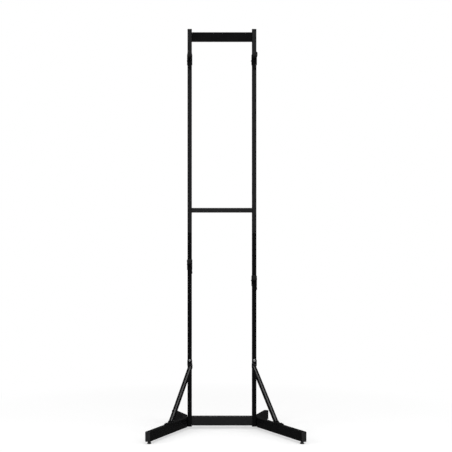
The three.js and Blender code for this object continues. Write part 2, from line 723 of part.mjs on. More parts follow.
function makeArm(name, side, restHeight, tiltDegrees) {
  const arm = groupAt(tower, side * postX, postY, restHeight);
  addPiece(arm, `${name}_arm_sleeve`, sleeveSolid(), lowerPaint);
  addPiece(arm, `${name}_pivot_bolt`, pivotBoltSolid(), blackSteel);
  addPiece(arm, `${name}_clamp_knob`, knobSolid(), blackPlastic);
  const pivot = groupAt(arm, 0, 0, -pivotDrop);
  pivot.rotation.y = -THREE.MathUtils.degToRad(tiltDegrees);
  const hook = groupAt(pivot, 0, 0, pivotDrop);
  addPiece(hook, `${name}_hook`, hookSolid(), lowerPaint);
  addPiece(hook, `${name}_hook_cover`, coverSolid(), blackRubber);
}

// The whole tower
[[-1, 'left'], [1, 'right']].forEach(([side, sideName]) => {
  makePosts(side, sideName);
  makeFoot(side, sideName);
  makeBrace(side, sideName);
});
makeCrossbars();
makeTopPanel();

// The hooks are tilted as they were left, each by its own angle, with the lower end to the right
const armSettings = [
  ['upper_left', -1, upperRestHeight, 3],
  ['upper_right', 1, upperRestHeight, 1],
  ['lower_left', -1, lowerLeftRestHeight, 8],
  ['lower_right', 1, lowerRightRestHeight, 8],
];
armSettings.forEach(([name, side, height, tilt]) => makeArm(name, side, height, tilt));

export default tower;
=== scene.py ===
# %% [markdown]
# # Bike storage tower
# A free-standing tower of black steel tube that carries two bicycles, one above the other. The CAD model of
# it is already right in size and place, so it is loaded as a fixed frame. What is left to do here is what a
# camera sees: rounded edges, bent tube, screw heads, grips and knobs, and a finish for every surface.

# %% Load the frame
import json
from math import atan2, cos, pi, radians, sin, sqrt, tan

import bmesh
import bpy
from mathutils import Matrix, Vector


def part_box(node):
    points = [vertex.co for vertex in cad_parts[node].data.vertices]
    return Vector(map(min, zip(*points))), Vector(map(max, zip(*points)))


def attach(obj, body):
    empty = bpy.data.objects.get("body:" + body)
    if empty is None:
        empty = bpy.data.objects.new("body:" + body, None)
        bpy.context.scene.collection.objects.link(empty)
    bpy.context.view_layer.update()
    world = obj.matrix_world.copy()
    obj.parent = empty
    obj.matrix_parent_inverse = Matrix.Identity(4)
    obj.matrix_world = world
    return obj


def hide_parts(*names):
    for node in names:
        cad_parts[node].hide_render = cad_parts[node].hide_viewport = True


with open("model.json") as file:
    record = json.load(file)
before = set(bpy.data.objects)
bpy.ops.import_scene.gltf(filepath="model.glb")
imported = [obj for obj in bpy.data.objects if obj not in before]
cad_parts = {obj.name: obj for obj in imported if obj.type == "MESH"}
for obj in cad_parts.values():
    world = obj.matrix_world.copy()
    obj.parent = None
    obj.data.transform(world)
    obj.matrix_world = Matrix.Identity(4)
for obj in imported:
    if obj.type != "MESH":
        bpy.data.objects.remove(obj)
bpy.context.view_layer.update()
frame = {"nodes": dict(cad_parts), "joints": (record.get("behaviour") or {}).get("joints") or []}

MM = 0.001
nodes = frame["nodes"]

# %% [markdown]
# The photograph was taken from a long way off with the camera level. A level camera keeps the posts upright
# in the picture, and the tower is put left or right of the middle by shifting the lens, not by turning the
# camera. So the camera is described by its focal length in pixels and by the pixel that it looks straight
# at.

# %% Camera
scene = bpy.context.scene


def add_object(name, data):
    thing = bpy.data.objects.new(name, data)
    scene.collection.objects.link(thing)
    return thing


PHOTO_SIDE = 452
FOCAL_LENGTH = 1061.1
STRAIGHT_AHEAD = (171, 225)
SENSOR_WIDTH = 36
CAMERA_PLACE = (-0.259, -5.304, 1.036)

lens = bpy.data.cameras.new("photo_camera")
lens.sensor_width = SENSOR_WIDTH
lens.lens = FOCAL_LENGTH * SENSOR_WIDTH / PHOTO_SIDE
lens.shift_x = (PHOTO_SIDE / 2 - STRAIGHT_AHEAD[0]) / PHOTO_SIDE
lens.shift_y = (STRAIGHT_AHEAD[1] - PHOTO_SIDE / 2) / PHOTO_SIDE
camera = add_object("photo_camera", lens)
camera.location = CAMERA_PLACE
camera.rotation_euler = (pi / 2, 0, 0)
scene.camera = camera
scene.view_settings.view_transform = "Standard"
print("lens:", round(lens.lens, 2), "mm, shift:", round(lens.shift_x, 4), round(lens.shift_y, 4))

# %% [markdown]
# Materials are node trees. One helper keeps them short: it adds a node and fills its inputs, with a plain
# value or with another node's output, which it joins. A group is an effect that several finishes share,
# such as wear along edges, so it is built once and then placed with its own values. A Mix node has sockets
# of one name for each kind of data, so its sockets are picked by number.

# %% Node helpers
COLOUR_A, COLOUR_B, COLOUR_RESULT = 6, 7, 2
VALUE_A, VALUE_B, VALUE_RESULT = 2, 3, 0


def feed(tree, socket, value):
    if isinstance(value, bpy.types.NodeSocket):
        tree.links.new(value, socket)
    else:
        socket.default_value = value


def add_node(tree, kind, values=None, **settings):
    """Adds a node, sets it and feeds its inputs. Returns its outputs."""
    node = tree.nodes.new(kind)
    for name, value in settings.items():
        setattr(node, name, value)
    for socket, value in (values or {}).items():
        feed(tree, node.inputs[socket], value)
    return node.outputs


def new_group(name, sizes, results):
    """Makes a shader group that is given sizes, in millimetres. Returns it and what they are inside it."""
    group = bpy.data.node_groups.new(name, "ShaderNodeTree")
    for socket, size in sizes.items():
        made = group.interface.new_socket(name=socket, in_out="INPUT", socket_type="NodeSocketFloat")
        made.default_value = size * MM
    for socket in results:
        group.interface.new_socket(name=socket, in_out="OUTPUT", socket_type="NodeSocketFloat")
    print("made group", name)
    return group, add_node(group, "NodeGroupInput")


def use_group(tree, group, sizes):
    """Places a group and gives it those of the sizes that it has sockets for."""
    known = [socket.name for socket in group.interface.items_tree]
    values = {name: size * MM for name, size in sizes.items() if name in known}
    return add_node(tree, "ShaderNodeGroup", values, node_tree=group)


def calculate(tree, operation, first, second):
    return add_node(tree, "ShaderNodeMath", {0: first, 1: second}, operation=operation)[0]


def object_place(tree):
    """Object coordinates, which are in metres."""
    return add_node(tree, "ShaderNodeTexCoord")["Object"]


def scaled_noise(tree, size, detail):
    """Noise whose lumps are as long as a size socket says."""
    scale = calculate(tree, "DIVIDE", 1.0, size)
    values = {"Vector": object_place(tree), "Scale": scale, "Detail": detail}
    return add_node(tree, "ShaderNodeTexNoise", values)[0]


def remap(tree, value, low, high, new_low=0.0, new_high=1.0):
    """Stretches a value's range, and clamps what falls outside it."""
    ends = {"Value": value, "From Min": low, "From Max": high, "To Min": new_low, "To Max": new_high}
    return add_node(tree, "ShaderNodeMapRange", ends)["Result"]


def mix_value(tree, factor, first, second):
    values = {0: factor, VALUE_A: first, VALUE_B: second}
    return add_node(tree, "ShaderNodeMix", values, data_type="FLOAT")[VALUE_RESULT]


def mix_colour(tree, factor, first, second):
    values = {0: factor, COLOUR_A: first, COLOUR_B: second}
    return add_node(tree, "ShaderNodeMix", values, data_type="RGBA")[COLOUR_RESULT]


# %% [markdown]
# Powder paint flows a little before it sets in the oven, which leaves a faint skin like an orange's. A
# picture of paint could give it, but noise never repeats. It comes in two sizes: short lumps for the peel,
# and long ones for the way the coat pools along a tube.

# %% Group: orange peel
POOL_SHARE = 0.3

orange_peel, given = new_group("orange_peel", {"Lump Size": 1.5, "Pool Size": 12}, ["Height"])
peel = scaled_noise(orange_peel, given["Lump Size"], 2.0)
pool = scaled_noise(orange_peel, given["Pool Size"], 1.0)
add_node(orange_peel, "NodeGroupOutput", {"Height": mix_value(orange_peel, POOL_SHARE, peel, pool)})

# %% [markdown]
# Paint and plastic are rubbed lighter along edges. Wear could be painted on by hand, but the Bevel node
# finds the edges by itself: it gives the normal that a rounded edge would have, and where that leans away
# from the surface's own normal there is an edge. Noise breaks the line up, as real wear comes in patches.

# %% Group: edge wear
EDGE_LEAN = (0.995, 0.85)
PATCH_EDGE = (0.35, 0.65)
LEAST_WEAR = 0.25

edge_wear, given = new_group("edge_wear", {"Width": 1, "Patch Size": 10}, ["Mask"])
rounded = add_node(edge_wear, "ShaderNodeBevel", {"Radius": given["Width"]}, samples=6)["Normal"]
surface = add_node(edge_wear, "ShaderNodeNewGeometry")["Normal"]
lean = add_node(edge_wear, "ShaderNodeVectorMath", {0: rounded, 1: surface}, operation="DOT_PRODUCT")
edge = remap(edge_wear, lean["Value"], *EDGE_LEAN)
patches = scaled_noise(edge_wear, given["Patch Size"], 4.0)
worn = remap(edge_wear, patches, *PATCH_EDGE, LEAST_WEAR, 1)
add_node(edge_wear, "NodeGroupOutput", {"Mask": calculate(edge_wear, "MULTIPLY", edge, worn)})

# %% [markdown]
# Fingers, cloths and air leave smudges that change how sharp a reflection is, and dust settles on what
# faces up. A group that works both out from the surface serves every piece: the smudge is noise, and the
# dust is specks of noise where the normal points upwards.

# %% Group: smudge and dust
SMUDGE_EDGE = (0.3, 0.7)
UPWARD_EDGE = (0.3, 1.0)
SPECK_EDGE = (0.45, 0.75)

sizes = {"Smudge Size": 60, "Speck Size": 1.2}
air_marks, given = new_group("smudge_and_dust", sizes, ["Smudge", "Dust"])
smudge = remap(air_marks, scaled_noise(air_marks, given["Smudge Size"], 5.0), *SMUDGE_EDGE)
surface = add_node(air_marks, "ShaderNodeNewGeometry")["Normal"]
upward = remap(air_marks, add_node(air_marks, "ShaderNodeSeparateXYZ", {0: surface})["Z"], *UPWARD_EDGE)
specks = remap(air_marks, scaled_noise(air_marks, given["Speck Size"], 3.0), *SPECK_EDGE)
dust = calculate(air_marks, "MULTIPLY", upward, specks)
add_node(air_marks, "NodeGroupOutput", {"Smudge": smudge, "Dust": dust})

# %% [markdown]
# Moulds for black plastic and rubber are etched, so the parts come out with a fine pebbled grain that hides
# scratches. Noise would look like paint here, while smooth Voronoi cells of about half a millimetre look
# pebbled.

# %% Group: moulded grain
moulded_grain, given = new_group("moulded_grain", {"Cell Size": 0.4}, ["Height"])
scale = calculate(moulded_grain, "DIVIDE", 1.0, given["Cell Size"])
values = {"Vector": object_place(moulded_grain), "Scale": scale}
cells = add_node(moulded_grain, "ShaderNodeTexVoronoi", values, feature="SMOOTH_F1")
add_node(moulded_grain, "NodeGroupOutput", {"Height": cells["Distance"]})

# %% [markdown]
# Every finish starts as a Principled BSDF. This helper mixes its base colour from a main colour, a worn one
# and a dusty one by two masks, moves its roughness with the smudges, and feeds a bump. What is the same all
# over the surface, such as the metallic value, is set on the shader itself. Sizes are in millimetres, under
# the names of the sockets that they go to, and the depth of the bump is among them.

# %% Finish helper
def finish(name, colour, worn, dusty, roughness, uniform, relief, sizes):
    material = bpy.data.materials.new(name)
    material.use_nodes = True
    tree = material.node_tree
    edges, air, height = (use_group(tree, group, sizes) for group in (edge_wear, air_marks, relief))
    rubbed = mix_colour(tree, edges["Mask"], (*colour, 1), (*worn, 1))
    bump = add_node(tree, "ShaderNodeBump", {"Distance": sizes["Bump"] * MM, "Height": height["Height"]})
    values = {
        "Base Color": mix_colour(tree, air["Dust"], rubbed, (*dusty, 1)),
        "Roughness": remap(tree, air["Smudge"], 0, 1, *roughness),
        "Normal": bump["Normal"],
    }
    shader = tree.nodes["Principled BSDF"]
    for socket, value in {**values, **uniform}.items():
        feed(tree, shader.inputs[socket], value)
    print("made", name)
    return material


# %% [markdown]
# The tubes are powder coated black, in more than one batch. The upper posts and the middle crossbar are a
# soft satin charcoal, and the lower posts, the feet, the braces and most of all the panel are a deeper and
# glossier black. The base crossbar is given the same lighter charcoal as the middle one. One recipe with
# values of its own for each batch keeps them related, as separate trees would not.

# %% Powder coats
COAT_WORN_GAIN = 4
COAT_LIFT = 0.02
COAT_SIZES = {"Width": 0.9, "Patch Size": 14, "Smudge Size": 70, "Speck Size": 1.4}
COAT_SIZES.update({"Lump Size": 1.3, "Pool Size": 14, "Bump": 0.012})


def powder_coat(name, colour, roughness, specular):
    worn = [COAT_WORN_GAIN * part + COAT_LIFT for part in colour]
    dusty = [part + COAT_LIFT for part in colour]
    shine = {"Specular IOR Level": specular}
    return finish(name, colour, worn, dusty, roughness, shine, orange_peel, COAT_SIZES)


upper_coat = powder_coat("upper_coat", (0.0105, 0.0105, 0.011), roughness=(0.22, 0.3), specular=0.35)
panel_coat = powder_coat("panel_coat", (0.0025, 0.0025, 0.0028), roughness=(0.2, 0.28), specular=0.25)
bar_coat = powder_coat("bar_coat", (0.0125, 0.0125, 0.013), roughness=(0.24, 0.34), specular=0.35)
lower_coat = powder_coat("lower_coat", (0.003, 0.003, 0.0033), roughness=(0.22, 0.3), specular=0.28)

# %% [markdown]
# Caps and knobs are nylon, which shines a little more than rubber. The hook covers and the floor pads are
# rubber: hardly any shine, a coarser grain, and a grey bloom where they are handled. The two differ in
# numbers alone, so one function makes both.

# %% Plastic and rubber
MOULDED_DUST = 0.03
MOULDED_SIZES = {"Width": 0.7, "Patch Size": 8, "Smudge Size": 25, "Speck Size": 1.0, "Bump": 0.05}


def moulded(name, colour, roughness, cell, specular, worn_gain):
    worn = [worn_gain * part for part in colour]
    dusty = [part + MOULDED_DUST for part in colour]
    shine = {"Specular IOR Level": specular}
    sizes = {**MOULDED_SIZES, "Cell Size": cell}
    return finish(name, colour, worn, dusty, roughness, shine, moulded_grain, sizes)


NYLON = {"roughness": (0.42, 0.55), "cell": 0.35, "specular": 0.5, "worn_gain": 3.5}
RUBBER = {"roughness": (0.7, 0.85), "cell": 0.6, "specular": 0.2, "worn_gain": 3.0}
black_nylon = moulded("black_nylon", (0.014, 0.014, 0.0145), **NYLON)
black_rubber = moulded("black_rubber", (0.009, 0.009, 0.009), **RUBBER)

# %% [markdown]
# Most screws are blackened steel with a trace of oil, and the levelling stems are zinc plated. The upper
# bolts of the braces are black steel too, and their pale dull metal colour is a painted highlight, the one
# bright spot on each post. Metal has no colour of its own under the shine, so the base colour is the colour
# of the reflection.

# %% Screw metals
METAL_DUST = 0.8
METAL_SIZES = {"Width": 0.5, "Patch Size": 3, "Smudge Size": 6, "Speck Size": 0.6}
METAL_SIZES.update({"Lump Size": 0.25, "Pool Size": 2, "Bump": 0.01})


def plated(name, colour, worn, roughness):
    dusty = [METAL_DUST * part for part in colour]
    return finish(name, colour, worn, dusty, roughness, {"Metallic": 1}, orange_peel, METAL_SIZES)


black_oxide = plated("black_oxide", (0.035, 0.036, 0.04), worn=(0.2, 0.2, 0.21), roughness=(0.3, 0.45))
zinc = plated("zinc", (0.55, 0.56, 0.58), worn=(0.75, 0.75, 0.76), roughness=(0.22, 0.4))
# A pale dull metal colour for the black steel upper brace bolts: a painted highlight.
pale_highlight_metal = plated("pale_highlight_metal", (0.72, 0.73, 0.74), worn=(0.85, 0.85, 0.86), roughness=(0.55, 0.65))

# %% [markdown]
# Black paint shows the room more than its own colour. A white room would turn it grey, so the world is
# white for the camera alone, and nearly dark in what the pieces mirror. The Light Path node tells the two
# apart.

# %% World
ROOM_IN_PIECES = 0.03
ROOM_LIGHT = 0.35


def seen_in_pieces(tree, rays):
    """Is 1 for rays that were mirrored by a surface or went through one."""
    return calculate(tree, "MAXIMUM", rays["Is Glossy Ray"], rays["Is Transmission Ray"])


world = bpy.data.worlds.new("studio")
world.use_nodes = True
scene.world = world
room = world.node_tree
rays = add_node(room, "ShaderNodeLightPath")
lit = mix_value(room, seen_in_pieces(room, rays), ROOM_LIGHT, ROOM_IN_PIECES)
background = room.nodes["Background"].inputs
feed(room, background["Color"], (1, 1, 1, 1))
feed(room, background["Strength"], mix_value(room, rays["Is Camera Ray"], lit, 1))
print("world:", world.name, "light:", ROOM_LIGHT, "in the pieces:", ROOM_IN_PIECES)

# %% [markdown]
# Small lamps would draw hard shadows and glints, so all four are large soft boxes that face the tower. The
# side ones only light the surfaces and aren't mirrored in them. The high ones are: the wide one in front
# draws a thin line down each round brace and catches the slanted shoulders at its top, and the one overhead
# puts a sheen on what faces up.

# %% Lamps
TOWER_MIDDLE = Vector((0, 0, 1))


def soft_lamp(name, place, size, power, mirrored):
    light = bpy.data.lights.new(name, "AREA")
    light.shape = "RECTANGLE"
    light.size, light.size_y = size
    light.energy = power
    lamp = add_object(name, light)
    lamp.location = place
    lamp.rotation_euler = (TOWER_MIDDLE - Vector(place)).to_track_quat("-Z", "Y").to_euler()
    lamp.visible_glossy = mirrored


soft_lamp("left_softbox", (-3.2, -2.0, 1.9), (1.0, 2.4), 60, mirrored=False)
soft_lamp("right_softbox", (3.2, -1.2, 1.7), (1.0, 2.4), 35, mirrored=False)
soft_lamp("front_softbox", (0.5, -5.36, 5.95), (9.0, 1.6), 350, mirrored=True)
soft_lamp("overhead_softbox", (0, 0.2, 4.2), (1.6, 1.0), 40, mirrored=True)
print("lamps:", {light.name: light.energy for light in bpy.data.lights})

# %% [markdown]
# The floor is a wide disc. Near the tower it takes the shadow, and further out it turns into the plain
# white of the background, so no horizon shows. A curved backdrop could hide the horizon too, but would
# stand in the way of the other views. The fade is a ramp on the distance from the middle.

# %% Floor
FLOOR_RADIUS = 12
FLOOR_SIDES = 96
FLOOR_COLOUR = (0.92, 0.92, 0.92, 1)
SHADOW_FADE = (0.45, 1.7)
FLOOR_GLOW = 0.45
FLOOR_IN_PIECES = 0.05


def to_mesh(name, shape):
    mesh = bpy.data.meshes.new(name)
    shape.to_mesh(mesh)
    shape.free()
    return mesh


floor_paint = bpy.data.materials.new("pale_floor")
floor_paint.use_nodes = True
tree = floor_paint.node_tree
tree.nodes.clear()
distance = add_node(tree, "ShaderNodeVectorMath", {0: object_place(tree)}, operation="LENGTH")
share = remap(tree, distance["Value"], *SHADOW_FADE, FLOOR_GLOW, 1)
rays = add_node(tree, "ShaderNodeLightPath")
mirrored = seen_in_pieces(tree, rays)
glowing = calculate(tree, "MULTIPLY", share, rays["Is Camera Ray"])
strength = mix_value(tree, mirrored, 1, FLOOR_IN_PIECES)
card = add_node(tree, "ShaderNodeBsdfDiffuse", {"Color": FLOOR_COLOUR})[0]
glow = add_node(tree, "ShaderNodeEmission", {"Color": (1, 1, 1, 1), "Strength": strength})[0]
blend = {0: calculate(tree, "MAXIMUM", glowing, mirrored), 1: card, 2: glow}
add_node(tree, "ShaderNodeOutputMaterial", {"Surface": add_node(tree, "ShaderNodeMixShader", blend)[0]})

disc = bmesh.new()
bmesh.ops.create_circle(disc, cap_ends=True, segments=FLOOR_SIDES, radius=FLOOR_RADIUS)
floor_mesh = to_mesh("studio_floor", disc)
floor_mesh.materials.append(floor_paint)
add_object("studio_floor", floor_mesh)
print("floor:", FLOOR_RADIUS, "m in radius, shadow fades over", SHADOW_FADE)

# %% [markdown]
# A curved surface is made of flat faces, and smooth shading hides their joints. It must not reach across a
# real edge, so a small geometry node group smooths only where faces meet at a gentle angle. The Weighted
# Normal modifier then keeps rounded rims from tilting the shading of the long flat faces beside them.

# %% Smooth shading by angle
SMOOTH_ANGLE = radians(38)

smoother = bpy.data.node_groups.new("smooth_by_angle", "GeometryNodeTree")
for in_out in ("INPUT", "OUTPUT"):
    smoother.interface.new_socket(name="Geometry", in_out=in_out, socket_type="NodeSocketGeometry")
forget = {"Geometry": add_node(smoother, "NodeGroupInput")[0], "Name": "custom_normal"}
cleared = add_node(smoother, "GeometryNodeRemoveAttribute", forget)[0]
angle = add_node(smoother, "GeometryNodeInputMeshEdgeAngle")["Unsigned Angle"]
less = {"data_type": "FLOAT", "operation": "LESS_THAN"}
gentle = add_node(smoother, "FunctionNodeCompare", {"A": angle, "B": SMOOTH_ANGLE}, **less)["Result"]
values = {"Geometry": cleared, "Shade Smooth": gentle}
by_edge = add_node(smoother, "GeometryNodeSetShadeSmooth", values, domain="EDGE")[0]
values = {"Geometry": by_edge, "Shade Smooth": True}
by_face = add_node(smoother, "GeometryNodeSetShadeSmooth", values, domain="FACE")[0]
add_node(smoother, "NodeGroupOutput", {0: by_face})
print("made", smoother.name)


def shade_by_angle(piece):
    piece.modifiers.new("smooth_by_angle", "NODES").node_group = smoother
    level = piece.modifiers.new("level", "WEIGHTED_NORMAL")
    level.keep_sharp = True


# %% [markdown]
# The posts, crossbars, caps, splices and the panel have the right shape in the CAD model, but knife-sharp
# edges, which no real part has and which never catch the light. They could be modelled again, but modifiers
# finish them without touching the mesh: Weld joins its loose triangles, and Bevel rounds what is sharper
# than an angle.

# %% Dress the CAD nodes
BEVEL_ANGLE = radians(40)
WELD_DISTANCE = 0.002 * MM


def round_edges(piece, radius):
    edge = piece.modifiers.new("edge", "BEVEL")
    edge.width = radius
    edge.segments = 2
    edge.limit_method = "ANGLE"
    edge.angle_limit = BEVEL_ANGLE


def dress(name, material, edge_radius):
    node = nodes[name]
    node.material_slots[0].material = material
    weld = node.modifiers.new("weld", "WELD")
    weld.merge_threshold = WELD_DISTANCE
    round_edges(node, edge_radius)
    shade_by_angle(node)
    print("dressed", name, "in", material.name)


SIDES = {"left": -1, "right": 1}
for side in SIDES:
    dress(f"{side}_upper_post", upper_coat, 0.4 * MM)
    dress(f"{side}_lower_post", lower_coat, 0.4 * MM)
    dress(f"{side}_post_cap", black_nylon, 0.9 * MM)
    dress(f"{side}_post_splice", black_oxide, 0.3 * MM)
dress("middle_crossbar", bar_coat, 0.3 * MM)
dress("base_crossbar", bar_coat, 0.3 * MM)
dress("top_panel", panel_coat, 0.5 * MM)

# %% [markdown]
# New pieces are made in bmesh and given to one function, which turns them into an object, gives it a
# finish, and makes it ride with the body that carries it. Most of them are a ring of edges that is grown
# step by step, as clay is pulled through a die, so growing a ring by a matrix is the other basic move.

# %% Make a piece
MERGE_DISTANCE = 0.001 * MM


def make_piece(name, shape, material, body, slot, stands_for=None, wall=None, edge=None):
    bmesh.ops.remove_doubles(shape, verts=shape.verts[:], dist=MERGE_DISTANCE)
    bmesh.ops.recalc_face_normals(shape, faces=shape.faces[:])
    mesh = to_mesh(name, shape)
    mesh.materials.append(material)
    piece = add_object(name, mesh)
    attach(piece, body)
    if stands_for:
        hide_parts(stands_for)
    if wall:
        solid = piece.modifiers.new("wall", "SOLIDIFY")
        solid.thickness, solid.offset = wall
        solid.use_even_offset = True
    if edge:
        round_edges(piece, edge)
    shade_by_angle(piece)
    print("made", name, "with", len(mesh.polygons), "faces")


# %% Grow rings of edges
def shift(x, y, z):
    return Matrix.Translation((x, y, z))


def ring_edges(corners):
    return list({edge for corner in corners for edge in corner.link_edges})


def ring_corners(ring):
    return list({corner for edge in ring for corner in edge.verts})


def new_edges(made):
    return [item for item in made if isinstance(item, bmesh.types.BMEdge)]


def grow(shape, ring, move):
    """Extrudes a ring of edges and moves the copy by a matrix. Returns the new ring's edges."""
    made = bmesh.ops.extrude_edge_only(shape, edges=ring)["geom"]
    corners = [item for item in made if isinstance(item, bmesh.types.BMVert)]
    bmesh.ops.transform(shape, matrix=move, verts=corners)
    return new_edges(made)


def grow_through(shape, ring, frames):
    """Grows a ring through a list of frames, the first of which is its own. Returns all rings."""
    rings = [ring]
    for now, after in zip(frames, frames[1:]):
        rings.append(grow(shape, rings[-1], after @ now.inverted()))
    return rings


def close(shape, ring):
    bmesh.ops.contextual_create(shape, geom=ring)


def spin_ring(shape, ring, **settings):
    """Carries a ring round a bend. Returns the last ring's edges."""
    return new_edges(bmesh.ops.spin(shape, geom=ring, use_duplicate=False, **settings)["geom_last"])


# %% [markdown]
# Many round things stand on an axis: bolt heads, pads, knobs and screws. Each starts as a circle on the
# ground and is grown through pairs of radius and height. Spinning a profile would do as well, but rings can
# be lobed, ribbed or pulled to a hexagon afterwards. A matrix then stands the piece where it belongs.

# %% Stack rings on an axis
def stack(shape, ring, sizes, middle=0.0):
    """Grows a ring through (width, depth, height) steps round a line at y = middle. Returns all rings."""
    frames = []
    for width, depth, height in sizes:
        frames.append(shift(0, middle, height) @ Matrix.Diagonal((width, depth, 1, 1)))
    return grow_through(shape, ring, frames)


def quarter(steps):
    """The steps of a quarter circle after its start, as (share inwards, share left) pairs."""
    angles = [pi / 2 * step / steps for step in range(1, steps + 1)]
    return [(1 - cos(angle), 1 - sin(angle)) for angle in angles]


def stack_circles(shape, sides, profile):
    """Grows a circle through (radius, height) pairs and closes both ends. Returns all rings."""
    radius, height = profile[0]
    start = bmesh.ops.create_circle(shape, segments=sides, radius=radius, matrix=shift(0, 0, height))
    ring = ring_edges(start["verts"])
    close(shape, ring)
    rings = stack(shape, ring, [(radius, radius, height) for radius, height in profile])
    close(shape, rings[-1])
    return rings


def millimetres(profile):
    return [(radius * MM, height * MM) for radius, height in profile]


def stand(place, axis):
    """A matrix that takes the z axis to a direction at a place."""
    return Matrix.Translation(place) @ Vector(axis).to_track_quat("Z", "Y").to_matrix().to_4x4()


def move_all(shape, matrix):
    bmesh.ops.transform(shape, matrix=matrix, verts=shape.verts[:])


# %% [markdown]
# The feet are rectangular tube, bent on a bench that presses two smooth bends into each. A curve with a
# bevel could draw them, but Extrude makes the straight stretches and Spin the bends as the works does. The
# path is measured from the post and its bolts.

# %% Lines of the feet
TUBE_WIDTH = 24 * MM
FRONT_LEG = 412 * MM
REAR_LEG = 151.5 * MM
FRONT_BEND = -23 * MM
REAR_BEND = 61 * MM
FRONT_SPLAY = radians(26.5)
REAR_SPLAY = radians(22)

post_low, post_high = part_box("right_lower_post")
POST_X = (post_low.x + post_high.x) / 2
POST_Y = (post_low.y + post_high.y) / 2
POST_HALF = (post_high.x - post_low.x) / 2
FOOT_HALF = TUBE_WIDTH / 2
FOOT_X = POST_X + POST_HALF + FOOT_HALF
LEG_BOTTOM = post_low.z
LEG_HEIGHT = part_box("base_crossbar")[1].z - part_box("base_crossbar")[0].z
LEG_TOP = LEG_BOTTOM + LEG_HEIGHT
print("post axis:", round(POST_X, 4), round(POST_Y, 4), "leg height:", round(LEG_HEIGHT, 4))


LEGS = {"front": (-1, FRONT_LEG, FRONT_BEND, FRONT_SPLAY), "rear": (1, REAR_LEG, REAR_BEND, REAR_SPLAY)}
ENDS = [(name, side, end) for name, side in SIDES.items() for end in LEGS]


def leg_frame(side, end, inset=0.0):
    """The place on a leg's centre line at a distance back from its tip, and the leg's direction."""
    ahead, length, bend, splay = LEGS[end]
    way = Vector((side * sin(splay), ahead * cos(splay), 0))
    turn = Vector((side * FOOT_X, POST_Y + bend, LEG_BOTTOM + LEG_HEIGHT / 2))
    return turn + way * (length - inset), way


# %% Outline of a tube
CORNER_STEPS = 4


def rounded_rectangle(shape, width, height, corner, matrix):
    """A ring of edges with rounded corners, in the local xy plane of a matrix. Returns its edges."""
    plane = matrix @ Matrix.Diagonal((width, height, 1, 1))
    corners = bmesh.ops.create_grid(shape, x_segments=1, y_segments=1, size=0.5, matrix=plane)["verts"]
    steps = {"offset": corner, "offset_type": "OFFSET", "segments": CORNER_STEPS}
    made = bmesh.ops.bevel(shape, geom=corners, profile=0.5, affect="VERTICES", material=-1, **steps)
    outline = ring_edges(made["verts"])
    face = {face for edge in outline for face in edge.link_faces}
    bmesh.ops.delete(shape, geom=list(face), context="FACES_ONLY")
    return outline


def cross_section(place, way):
    """A matrix whose z axis runs along a level tube, whose y axis is up, and whose x axis is across it."""
    up = Vector((0, 0, 1))
    return Matrix.Translation(place) @ Matrix((up.cross(way), up, way)).transposed().to_4x4()


# %% [markdown]
# One outline is carried from the front tip to the rear one. A bend starts short of the corner of the two
# lines by its radius times the tangent of half its angle. The wall comes last, from Solidify, because it
# keeps the same thickness through the bends.

# %% Feet
TUBE_WALL = 1.5 * MM
TUBE_CORNER = 3 * MM
CAP_FLANGE = 4 * MM
BEND_RADIUS = 48 * MM
BEND_STEPS = 12

for name, side in SIDES.items():
    shape = bmesh.new()
    tip, way = leg_frame(side, "front", CAP_FLANGE)
    ring = rounded_rectangle(shape, TUBE_WIDTH, LEG_HEIGHT, TUBE_CORNER, cross_section(tip, -way))
    front_setback = BEND_RADIUS * tan(FRONT_SPLAY / 2)
    rear_setback = BEND_RADIUS * tan(REAR_SPLAY / 2)
    bend_start, bend_end = FRONT_BEND + front_setback, REAR_BEND - rear_setback
    outer_x = side * (FOOT_X + BEND_RADIUS)
    turn = {"axis": (0, 0, 1), "steps": BEND_STEPS}
    ring = grow(shape, ring, Matrix.Translation(-way * (FRONT_LEG - CAP_FLANGE - front_setback)))
    ring = spin_ring(shape, ring, cent=(outer_x, POST_Y + bend_start, 0), angle=side * -FRONT_SPLAY, **turn)
    ring = grow(shape, ring, shift(0, bend_end - bend_start, 0))
    ring = spin_ring(shape, ring, cent=(outer_x, POST_Y + bend_end, 0), angle=side * -REAR_SPLAY, **turn)
    rear_way = leg_frame(side, "rear")[1]
    grow(shape, ring, Matrix.Translation(rear_way * (REAR_LEG - CAP_FLANGE - rear_setback)))
    stands_for, wall = f"{name}_foot_tube", (TUBE_WALL, -1)
    make_piece(f"{name}_bent_foot", shape, lower_coat, "frame", "lower_paint", stands_for, wall)

# %% [markdown]
# The open ends of the feet are closed by moulded caps: a plug inside the tube, and a flange as big as the
# tube with a soft rim and a slightly sunken face. A beveled block would look alike from outside, but
# growing the outline through a list of sizes gives the plug, the rim and the dish in one go.

# %% End caps
CAP_GAP = 0.3 * MM
CAP_PLUG = 6.5 * MM
CAP_RIM = 1.2 * MM
CAP_RIM_STEPS = (1.0, 0.6, 0.25, 0.0)
CAP_FACE = 4.2 * MM
CAP_DISH = 5.0 * MM
CAP_SINK = 0.5 * MM

